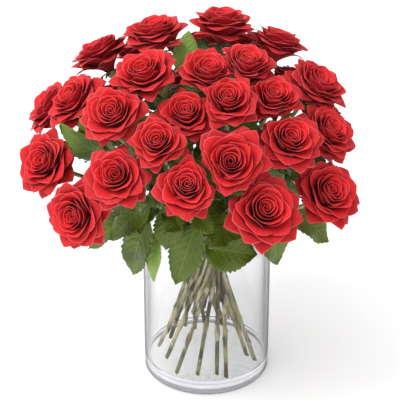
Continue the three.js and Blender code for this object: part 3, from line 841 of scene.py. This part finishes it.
# ---- stems
CORNER_REACH = 14 * MM  # how far from a bend its rounding starts
CORNER_STEPS = 4
NODE_PLACES = ((0.12, 0.2), (0.26, 0.36), (0.55, 0.75))  # least and most, as shares of the stem
NODE_LENGTH = 4 * MM
NODE_SWELL = 0.4
BARE_BELOW = 40 * MM  # no prickles this close to the binding
BARE_ABOVE = 50 * MM
STREAK_STRETCH = (1, 1, 0.2)
# The heights above the neck of a hip's rings and their radii, as shares of its length and radius.
HIP_SHAPE = np.array(((-1.02, -0.85, -0.62, -0.38, -0.16, -0.03), (0.5, 0.72, 1.0, 1.02, 0.9, 0.8)))
HIP_SIDES = 14
SEPALS = 5
SEPAL_THICKNESS = 0.6 * MM
SEPAL_REACH = 17.5 * MM
SEPAL_WIDTH = 2.9 * MM  # from its middle to its side


def rounded_line(line):
    """A stem's line with its bends rounded."""
    points = [line[0]]
    for before, corner, after in zip(line, line[1:], line[2:]):
        into, out = corner - before, after - corner
        reach = min(CORNER_REACH, 0.4 * np.linalg.norm(into), 0.4 * np.linalg.norm(out))
        start, end = corner - unit(into) * reach, corner + unit(out) * reach
        for t in np.linspace(0, 1, CORNER_STEPS + 1):
            points.append(start * (1 - t) ** 2 + corner * 2 * t * (1 - t) + end * t * t)
    return np.array([*points, line[-1]])


def resampled(points, pitch):
    """A line's points spread evenly, about one for each pitch of its length."""
    lengths = np.concatenate(([0], np.cumsum(np.linalg.norm(np.diff(points, axis=0), axis=1))))
    places = np.linspace(0, lengths[-1], max(3, round(lengths[-1] / pitch)))
    return np.stack([np.interp(places, lengths, column) for column in points.T], 1), places


def add_prickle(skin, place, out, up, size, tone):
    """A hooked prickle on a stem, wide along the stem and bent down."""
    side = np.cross(up, out) * 0.22
    ways = (up * 0.5, side, up * -0.6, -side, out * 0.95 - up * 0.35)
    faces = [(0, 1, 4), (1, 2, 4), (2, 3, 4), (3, 0, 4)]
    skin.add([place + way * size for way in ways], faces, tone=tone)


def add_stem(skin, rose, line, shape):
    """A stem with swollen nodes, prickles and a slanted cut foot, and its hip and sepals."""
    draw = random.Random(rose.number * 13 + 5)
    tone = draw.random()
    top = rose.neck - rose.facing * HIP_LENGTH * 0.8
    middles, places = resampled(rounded_line([*line, top]), shape.stem_detail)
    radii = np.full(len(middles), shape.stem_radius)
    for low, high in NODE_PLACES:
        away = (places - draw.uniform(low, high) * places[-1]) / NODE_LENGTH
        radii *= 1 + NODE_SWELL * np.exp(-(away**2))
    add_tube(skin, middles, radii, shape.stem_sides, 1.0, draw.uniform(0.5, 1.1), tone=tone)
    heights = middles[:, 2] - BINDING_HEIGHT
    spots = [k for k in np.flatnonzero((heights < -BARE_BELOW) | (heights > BARE_ABOVE))
             if 3 < k < len(middles) - 6]
    for k in draw.sample(spots, min(len(spots), shape.prickles)):
        up = unit(middles[k + 1] - middles[k])
        out = unit(np.cross(up, unit(np.array([draw.uniform(-1, 1) for _ in range(3)]))))
        size = draw.uniform(2.2, 3.4) * MM
        add_prickle(skin, middles[k] + out * radii[k] * 0.8, out, up, size, draw.uniform(0.6, 1))
    add_hip(skin, rose, draw)


def add_hip(skin, rose, draw):
    """The swollen hip under a bloom, and its narrow sepals bent back round it."""
    heights, radii = HIP_SHAPE
    middles = rose.neck + heights[:, None] * HIP_LENGTH * rose.facing
    add_tube(skin, middles, radii * HIP_RADIUS, HIP_SIDES, tone=0.1)
    t = np.linspace(0, 1, 7)[:, None]
    wide = np.linspace(-1, 1, 5)[None, :]
    half = SEPAL_WIDTH * np.sin(np.pi * (0.22 + 0.78 * t)) ** 0.8 * (1 - 0.35 * t)
    height = (-2.2 - 2.4 * t**2 + 0.8 * wide**2) * MM
    root = HIP_RADIUS * 0.8
    for n in range(SEPALS):
        radius = root + (SEPAL_REACH * draw.uniform(0.92, 1.04) - root) * t
        grid = rose.place(n * TURN / SEPALS + wide * half / radius, radius, height)
        skin.add_sheet(grid[:, ::-1], SEPAL_THICKNESS, t, wide, draw.random(), finish=1)


# ---- leaves
LEAF_KEEL = 0.2
LEAF_ARCH = 0.14
LEAF_FACES_UP = 0.6
# A leaflet's half width as a share of its widest, at shares of its length.
OUTLINE = np.array(((0, 0.1), (0.05, 0.36), (0.15, 0.7), (0.28, 0.92), (0.42, 1.0), (0.55, 0.98),
                    (0.68, 0.84), (0.8, 0.6), (0.9, 0.34), (0.96, 0.14), (1, 0.0)))
TOOTH_STEPS = ((0.0, 0.92), (0.4, 0.97), (0.8, 1.035))  # places in a tooth and the margin there
LEAST_HALF_WIDTH = 0.12 * MM  # of a leaflet, at its tip
BLADE_COLUMNS = 9
STALK_SIDES = 8
STALK_SAG = 0.03  # as a share of its length
SIDE_VEINS = 8.0  # on each side of the midrib
VEIN_SLANT = 2.2  # how far a side vein leans to the tip, in side veins
QUILT = 0.35 * MM  # how far the blade swells between its side veins
INNER_FIRST = 26  # mm down the stem to its first inner leaflet, and on to each next one
INNER_PITCH = 17
INNER_REACH = 150 * MM  # how far from the dome's centre the inner leaflets' tips may stand
INNER_LOWEST = 232 * MM


def add_blade(skin, base, tip, width, shape, draw, forward=False, youth=0.0):
    """A toothed blade, keeled along an arched rib, with its upper side facing outwards and up."""
    along = tip - base
    faces = np.array((0.0, -1.0, 0.0)) if forward else unit((base + tip) * (1, 1, 0))
    faces[2] = LEAF_FACES_UP
    across = unit(np.cross(along, faces))
    top = unit(np.cross(across, along))
    crest = (base + tip) / 2 + top * np.linalg.norm(along) * LEAF_ARCH
    steps = [((tooth + at) / shape.teeth, share)
             for tooth in range(shape.teeth) for at, share in TOOTH_STEPS]
    t, teeth = np.array([*steps, (1.0, 1.0)]).T[..., None]
    s = np.linspace(-1, 1, BLADE_COLUMNS)[None, :]
    out = np.abs(s)
    half = np.interp(t, *OUTLINE.T) * (1 + (teeth - 1) * ease(out, 0.6, 1.0)) * width / 2
    half = np.maximum(half, LEAST_HALF_WIDTH)
    rib = base * ((1 - t) ** 2) + crest * (2 * t * (1 - t)) + tip * (t * t)
    wave = draw.uniform(0.04, 0.09) * width * np.sin(t * draw.uniform(9, 13) + draw.uniform(0, 6))
    lift = out * half * LEAF_KEEL * (1.25 - 0.5 * out) + wave * s * out
    lift += QUILT * np.cos(TURN * (t * SIDE_VEINS - out * VEIN_SLANT)) * ease(out, 0.05, 0.3)
    grid = rib[:, None] + (s * half)[..., None] * across + lift[..., None] * top
    tone = 1 + youth if youth else draw.random()
    skin.add_sheet(grid, shape.leaf_thickness, t, s, tone)


def add_inner_leaflets(skin, rose, line, shape):
    """The small leaflets on a stem below its bloom, which fill the bouquet's inside."""
    draw = random.Random(rose.number * 23 + 9)
    points, places = resampled(rounded_line(line), 2 * MM)
    first = draw.uniform(0, TURN)
    for n in range(shape.inner_leaflets):
        down = (INNER_FIRST + INNER_PITCH * n + draw.uniform(-5, 5)) * MM
        root = np.array([np.interp(places[-1] - down, places, column) for column in points.T])
        angle = first + n * GOLDEN_ANGLE
        outward = math.cos(angle) * rose.side + math.sin(angle) * rose.up
        way = unit(outward + rose.facing * draw.uniform(0.5, 0.9))
        base = root + way * draw.uniform(8, 12) * MM
        span = draw.uniform(30, 40) * MM
        tip = base + unit(way + outward * 0.4) * span
        width = span * draw.uniform(0.62, 0.74)
        if np.linalg.norm(tip - DOME_CENTRE) <= INNER_REACH and tip[2] >= INNER_LOWEST:
            add_stalk(skin, root, base, shape.stalk_radius * 0.7)
            add_blade(skin, base, tip, width, shape, draw)


def add_stalk(skin, root, base, radius):
    """A leaf's thin stalk, a little thicker where it leaves the stem."""
    t = np.linspace(0, 1, 7)[:, None]
    run = base - root
    sag = unit(np.cross(run, (0.2, 0.1, 1.0))) * np.linalg.norm(run) * STALK_SAG
    middles = root + run * t + sag * np.sin(np.pi * t)
    add_tube(skin, middles, radius * (1.25 - 0.4 * t[:, 0]), STALK_SIDES, tone=0.3)


# ---- settings
def amount(name, description, default, low=0.0, **more):
    return FloatProperty(name=name, description=description, default=default, min=low, **more)


def length(*facts):
    return amount(*facts, unit="LENGTH", subtype="DISTANCE")


def count(name, description, default, low):
    return IntProperty(name=name, description=description, default=default, min=low)


def colour(name, description, default):
    return FloatVectorProperty(name=name, description=description, default=default, size=3, min=0,
                               max=1, subtype="COLOR")


class VaseShape(PropertyGroup):
    radius: length("Radius", "Outer radius of the glass", (VASE_BOX[1][0] - VASE_BOX[0][0]) / 2)
    height: length("Height", "Height of the glass", VASE_BOX[1][2] - VASE_BOX[0][2])
    wall: length("Wall", "Thickness of the glass wall", 4 * MM)
    floor: length("Floor", "Thickness of the vase's floor", FLOOR)
    foot_round: length("Foot round", "Radius of the foot's rounded edge", 5 * MM)
    water_level: length("Water level", "Height of the water's surface", WATER_BOX[1][2])
    segments: count("Segments", "Facets round the glass", 144, 24)
    glass: colour("Glass", "Tint of the glass", (0.895, 0.895, 0.905))
    # Painted shade for the glass seen edge on.
    painted_edge_shade: colour("Glass edge", "Tint of the glass seen edge on", (0.12, 0.12, 0.13))
    glass_floor: colour("Glass floor", "Tint of the thick floor seen from above", (0.80, 0.80, 0.79))
    # Painted shade on the outside of the foot.
    painted_foot_shade: colour("Glass foot", "Tint of the thick foot's outside", (0.17, 0.17, 0.20))
    water: colour("Water", "Tint of the water", (0.985, 0.99, 0.99))


class BloomShape(PropertyGroup):
    petals: count("Petals", "Petals in each bloom", 37, 28)
    petal_thickness: length("Petal thickness", "Thickness of a petal", 0.35 * MM)
    petal: colour("Petal", "Red of a petal's open part", (0.76, 0.023, 0.028))
    # Partly the petal's own deeper red and partly painted shade, which reaches furthest up the heart's
    # petals.
    claw_and_shade: colour("Claw", "Red of a petal's base", (0.16, 0.002, 0.005))
    shade: colour("Shade", "Deeper red of a petal's clouds", (0.40, 0.013, 0.017))
    # A painted highlight: the paler red where light catches a petal's rolled rim.
    rim_highlight: colour("Rim", "Paler red along a petal's rim", (0.74, 0.14, 0.15))
    back: colour("Back", "Cooler red of a petal's back", (0.37, 0.024, 0.038))


class StemShape(PropertyGroup):
    stem_radius: length("Stem radius", "Radius of a stem between its nodes", 2.45 * MM)
    stem_detail: length("Stem detail", "Distance between a stem's rings", 4 * MM, MM)
    stem_sides: count("Stem sides", "Sides of a stem", 12, 5)
    prickles: count("Prickles", "Prickles on each stem", 7, 0)
    stem: colour("Stem", "Olive green of a stem", (0.52, 0.51, 0.25))
    brown: colour("Brown", "Brown of a stem's streaks", (0.082, 0.064, 0.032))
    fleck: colour("Flecks", "Pale flecks on a stem's skin", (0.80, 0.76, 0.50))
    cut: colour("Cut", "Pale wood of a stem's cut foot", (0.62, 0.52, 0.26))


class LeafShape(PropertyGroup):
    teeth: count("Teeth", "Teeth on each side of a leaflet", 12, 3)
    leaf_thickness: length("Leaf thickness", "Thickness of a blade", 0.4 * MM)
    stalk_radius: length("Stalk radius", "Radius of a leaf's stalk", 1.0 * MM)
    inner_leaflets: count("Inner leaflets", "Small leaflets on each stem inside the bouquet", 7, 0)
    leaf: colour("Leaf", "Mid green of a leaf", (0.098, 0.158, 0.006))
    dark_leaf: colour("Dark leaf", "Dark blotches of a leaf", (0.036, 0.066, 0.003))
    olive_leaf: colour("Olive leaf", "Yellower green of some leaves", (0.100, 0.140, 0.002))
    young_leaf: colour("Young leaf", "Bright green of the young leaves", (0.28, 0.42, 0.09))
    vein: colour("Vein", "Pale green of the veins", (0.24, 0.34, 0.05))
    underside: colour("Underside", "Grey green of a leaf's underside", (0.11, 0.17, 0.055))


class StageLook(PropertyGroup):
    camera_pitch: amount("Camera pitch", "How far the camera looks down", math.radians(28.5),
                         subtype="ANGLE", unit="ROTATION")
    camera_distance: length("Camera distance", "From the camera to the bouquet", 1.85)
    camera_lens: amount("Lens", "Focal length in millimetres", 144.0, 20.0)
    floor_size: length("Floor size", "Side of the floor", 9.0)
    floor_colour: colour("Floor", "Colour of the floor", (0.95, 0.95, 0.95))
    sky: amount("Room light", "Strength of the even light", 1.17)
    key: amount("Key light", "Power of the key light in watts", 62.0)
    fill: amount("Fill light", "Power of the fill light in watts", 10.0)


SETTINGS = {
    "rose_vase": VaseShape,
    "rose_blooms": BloomShape,
    "rose_stems": StemShape,
    "rose_leaves": LeafShape,
    "rose_stage": StageLook,
}


# ---- pieces
FIRST_RING = 12 * MM  # radius of a turned piece's ring nearest the axis


def seat(piece, slot, *nodes):
    """Makes a piece ride on the bouquet's body and stand for its CAD nodes."""
    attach(piece, "root")
    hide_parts(*nodes)


def seat_clear(name, profile, segments, material, slot, node):
    """Makes a turned piece of clear glass or water, which lets the lamps' light through."""
    skin = Skin()
    skin.add(*lathe(profile, segments))
    piece = skin.to_object(name, material)
    piece.visible_shadow = False
    seat(piece, slot, node)


def stem_node(number):
    """The CAD node of a stem, which stands alone or in a pair."""
    if number < FIRST_PAIRED:
        return f"stem_{number + 1:02d}"
    first = number & ~1
    return f"stems_{first + 1:02d}_{first + 2:02d}"


def seat_green(skins, prefix, *materials):
    """Makes a piece for each stem node out of its skin."""
    for node, skin in skins.items():
        seat(skin.to_object(f"{prefix}_{node}", *materials), "stems_and_leaves", node)


class ROSES_OT_glass_vase(Operator):
    """Build the glass vase: a straight cylinder with a heavy floor and rounded edges"""

    bl_idname = "roses.glass_vase"
    bl_label = "Glass Vase"

    def execute(self, context):
        shape = context.scene.rose_vase
        inner = shape.radius - shape.wall
        lip, foot, fillet = shape.wall / 2, shape.foot_round, 2 * MM
        heights = [shape.height * k / 6 for k in range(1, 6)]
        profile = [(0, 0), (FIRST_RING, 0)]
        profile += arc((shape.radius - foot, foot), foot, -90, 0, 6)
        profile += [(shape.radius, height) for height in heights]
        profile += arc((shape.radius - lip, shape.height - lip), lip, 0, 180, 8)
        profile += [(inner, height) for height in reversed(heights)]
        profile += arc((inner - fillet, shape.floor + fillet), fillet, 0, -90, 4)
        profile += [(FIRST_RING, shape.floor), (0, shape.floor)]
        seat_clear("glass_vase", profile, shape.segments, vase_glass(shape), "vase_glass", "vase")
        return {"FINISHED"}


class ROSES_OT_water(Operator):
    """Build the shallow water in the vase, which wets the glass and creeps up it a little"""

    bl_idname = "roses.water"
    bl_label = "Water"

    def execute(self, context):
        shape = context.scene.rose_vase
        wetted = shape.radius - shape.wall + 0.1 * MM
        low = shape.floor - 0.1 * MM
        level = shape.water_level
        middle = level - 1.7 * MM
        # The water's surface near the glass: outwards in steps of 0.8 mm, and up in mm.
        creep = [(1.0, 0.0), (0.5, -0.9), (0.0, -1.3), (-1.2, -1.6), (-3.0, -1.7)]
        profile = [(0, low), (FIRST_RING, low), (wetted - 2 * MM, low), (wetted, low + 2 * MM)]
        profile += [(wetted - (1.0 - out) * 0.8 * MM, level + up * MM) for out, up in creep]
        profile += [(FIRST_RING, middle), (0, middle)]
        water = clear_finish("still water", ior=1.333, base_color=shape.water).owner
        seat_clear("vase_water", profile, shape.segments, water, "water", "water")
        return {"FINISHED"}


class ROSES_OT_blooms(Operator):
    """Build the open red blooms, each of nested velvet petals"""

    bl_idname = "roses.blooms"
    bl_label = "Blooms"

    def execute(self, context):
        shape = context.scene.rose_blooms
        velvet = petal_velvet(shape)
        for rose in all_roses():
            label = f"{rose.number + 1:02d}"
            bloom = build_bloom(rose, all_roses(), shape).to_object(f"rose_{label}", velvet)
            seat(bloom, "petals", f"bloom_{label}")
        return {"FINISHED"}


class ROSES_OT_stems(Operator):
    """Build the stems, which cross in a spiral, with their prickles, hips and sepals"""

    bl_idname = "roses.stems"
    bl_label = "Stems"

    def execute(self, context):
        shape = context.scene.rose_stems
        skins = {}
        for rose, line in zip(all_roses(), stem_lines(), strict=True):
            add_stem(skins.setdefault(stem_node(rose.number), Skin()), rose, line, shape)
        seat_green(skins, "green", stem_bark(shape), leaf_green(context.scene.rose_leaves))
        return {"FINISHED"}


class ROSES_OT_leaves(Operator):
    """Build the toothed leaflets on their stalks"""

    bl_idname = "roses.leaves"
    bl_label = "Leaves"

    def execute(self, context):
        shape = context.scene.rose_leaves
        roses, lines = all_roses(), stem_lines()
        skins = {stem_node(rose.number): Skin() for rose in roses}
        for row, (base, tip, width) in enumerate(LEAVES):
            draw = random.Random(row * 17 + 1)
            base, tip = np.array((base, tip)) * MM
            number, root = nearest_stem(lines, base)
            skin = skins[stem_node(number)]
            add_stalk(skin, root, base, shape.stalk_radius)
            add_blade(skin, base, tip, width * MM, shape, draw, row in FORWARD_LEAVES,
                      YOUTH.get(row, 0.0))
        for rose, line in zip(roses, lines, strict=True):
            add_inner_leaflets(skins[stem_node(rose.number)], rose, line, shape)
        seat_green(skins, "leaves_of", leaf_green(shape))
        return {"FINISHED"}


# ---- stage
BOUQUET_MIDDLE = Vector((-0.01, 0, 0.23))
CAMERA_TARGET = Vector((-7.8 * MM, 0, 223 * MM))


class ROSES_OT_stage(Operator):
    """Set the pale floor, the soft studio light and the camera"""

    bl_idname = "roses.stage"
    bl_label = "Stage"

    def execute(self, context):
        look = context.scene.rose_stage
        pale_floor(look)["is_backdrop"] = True
        studio_room(context.scene, look)
        add_lamp("key light", (-1.5, -0.7, 2.8), 1.8, look.key)
        add_lamp("fill light", (1.7, -1.3, 1.2), 1.6, look.fill)
        add_camera(context.scene, look)
        context.scene.view_settings.view_transform = "Standard"
        return {"FINISHED"}


def pale_floor(look):
    """The floor, which glows a little so that it stays nearly white."""
    size = look.floor_size / 2
    mesh = bpy.data.meshes.new("floor")
    mesh.from_pydata([(-size, -size, 0), (size, -size, 0), (size, size, 0), (-size, size, 0)], [],
                     [(0, 1, 2, 3)])
    finish = Finish("pale floor", roughness=0.6, specular_ior_level=0.2, base_color=look.floor_colour,
                    emission_color=(1, 1, 1), emission_strength=0.16)
    mesh.materials.append(finish.owner)
    return link("floor", mesh)


def studio_room(scene, look):
    """A soft white room, dimmer on its right-hand side. The camera sees it plain white."""
    room = Finish("studio room", "worlds", "Background", color=(1, 1, 1))
    scene.world = room.owner
    right, _, _ = room.split(room.place("Generated"))
    light = room.times(room.ramp(right, -0.2, 0.8, 1.0, 0.35), look.sky)
    seen = room.node("LightPath", "Is Camera Ray")
    room.set(strength=room.node("Mix", 0, {0: seen, 2: light, 3: 1.0}))


def add_lamp(name, place, size, power):
    """A round area lamp that shines on the bouquet's middle."""
    light = bpy.data.lights.new(name, "AREA")
    light.shape = "DISK"
    light.size = size
    light.energy = power
    lamp = link(name, light)
    lamp.location = place
    lamp.rotation_euler = (BOUQUET_MIDDLE - Vector(place)).to_track_quat("-Z", "Y").to_euler()


def add_camera(scene, look):
    """The photograph's view: level from the front and looking down on the bouquet."""
    away = Vector((0, -math.cos(look.camera_pitch), math.sin(look.camera_pitch)))
    lens = bpy.data.cameras.new("camera")
    lens.lens = look.camera_lens
    lens.sensor_width = 36
    lens.clip_end = 50
    camera = link("camera", lens)
    camera.location = CAMERA_TARGET + away * look.camera_distance
    camera.rotation_euler = (-away).to_track_quat("-Z", "Y").to_euler()
    scene.camera = camera


class VIEW3D_PT_roses(Panel):
    """Lists the sizes and colours, and a button for each group of pieces"""

    bl_label = "Roses in a Vase"
    bl_space_type = "VIEW_3D"
    bl_region_type = "UI"
    bl_category = "Roses"

    def draw(self, context):
        for (setting, group), operators in zip(SETTINGS.items(), PANEL_ROWS, strict=True):
            box = self.layout.box()
            for name in group.__annotations__:
                box.prop(getattr(context.scene, setting), name)
            for operator in operators:
                box.operator(operator.bl_idname)


PANEL_ROWS = (
    (ROSES_OT_glass_vase, ROSES_OT_water),
    (ROSES_OT_blooms,),
    (ROSES_OT_stems,),
    (ROSES_OT_leaves,),
    (ROSES_OT_stage,),
)
OPERATORS = tuple(operator for row in PANEL_ROWS for operator in row)
CLASSES = (*SETTINGS.values(), *OPERATORS, VIEW3D_PT_roses)


def register():
    for each in CLASSES:
        bpy.utils.register_class(each)
    for name, group in SETTINGS.items():
        setattr(bpy.types.Scene, name, PointerProperty(type=group))


def unregister():
    for name in SETTINGS:
        delattr(bpy.types.Scene, name)
    for each in reversed(CLASSES):
        bpy.utils.unregister_class(each)


def main():
    register()
    for operator in OPERATORS:
        group, name = operator.bl_idname.split(".")
        getattr(getattr(bpy.ops, group), name)()
    bpy.context.view_layer.update()
    boxes = {"cad": CAD_BOX, "visual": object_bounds()}
    {name: [list(corner) for corner in box] for name, box in boxes.items()}


if __name__ == "__main__":
    main()
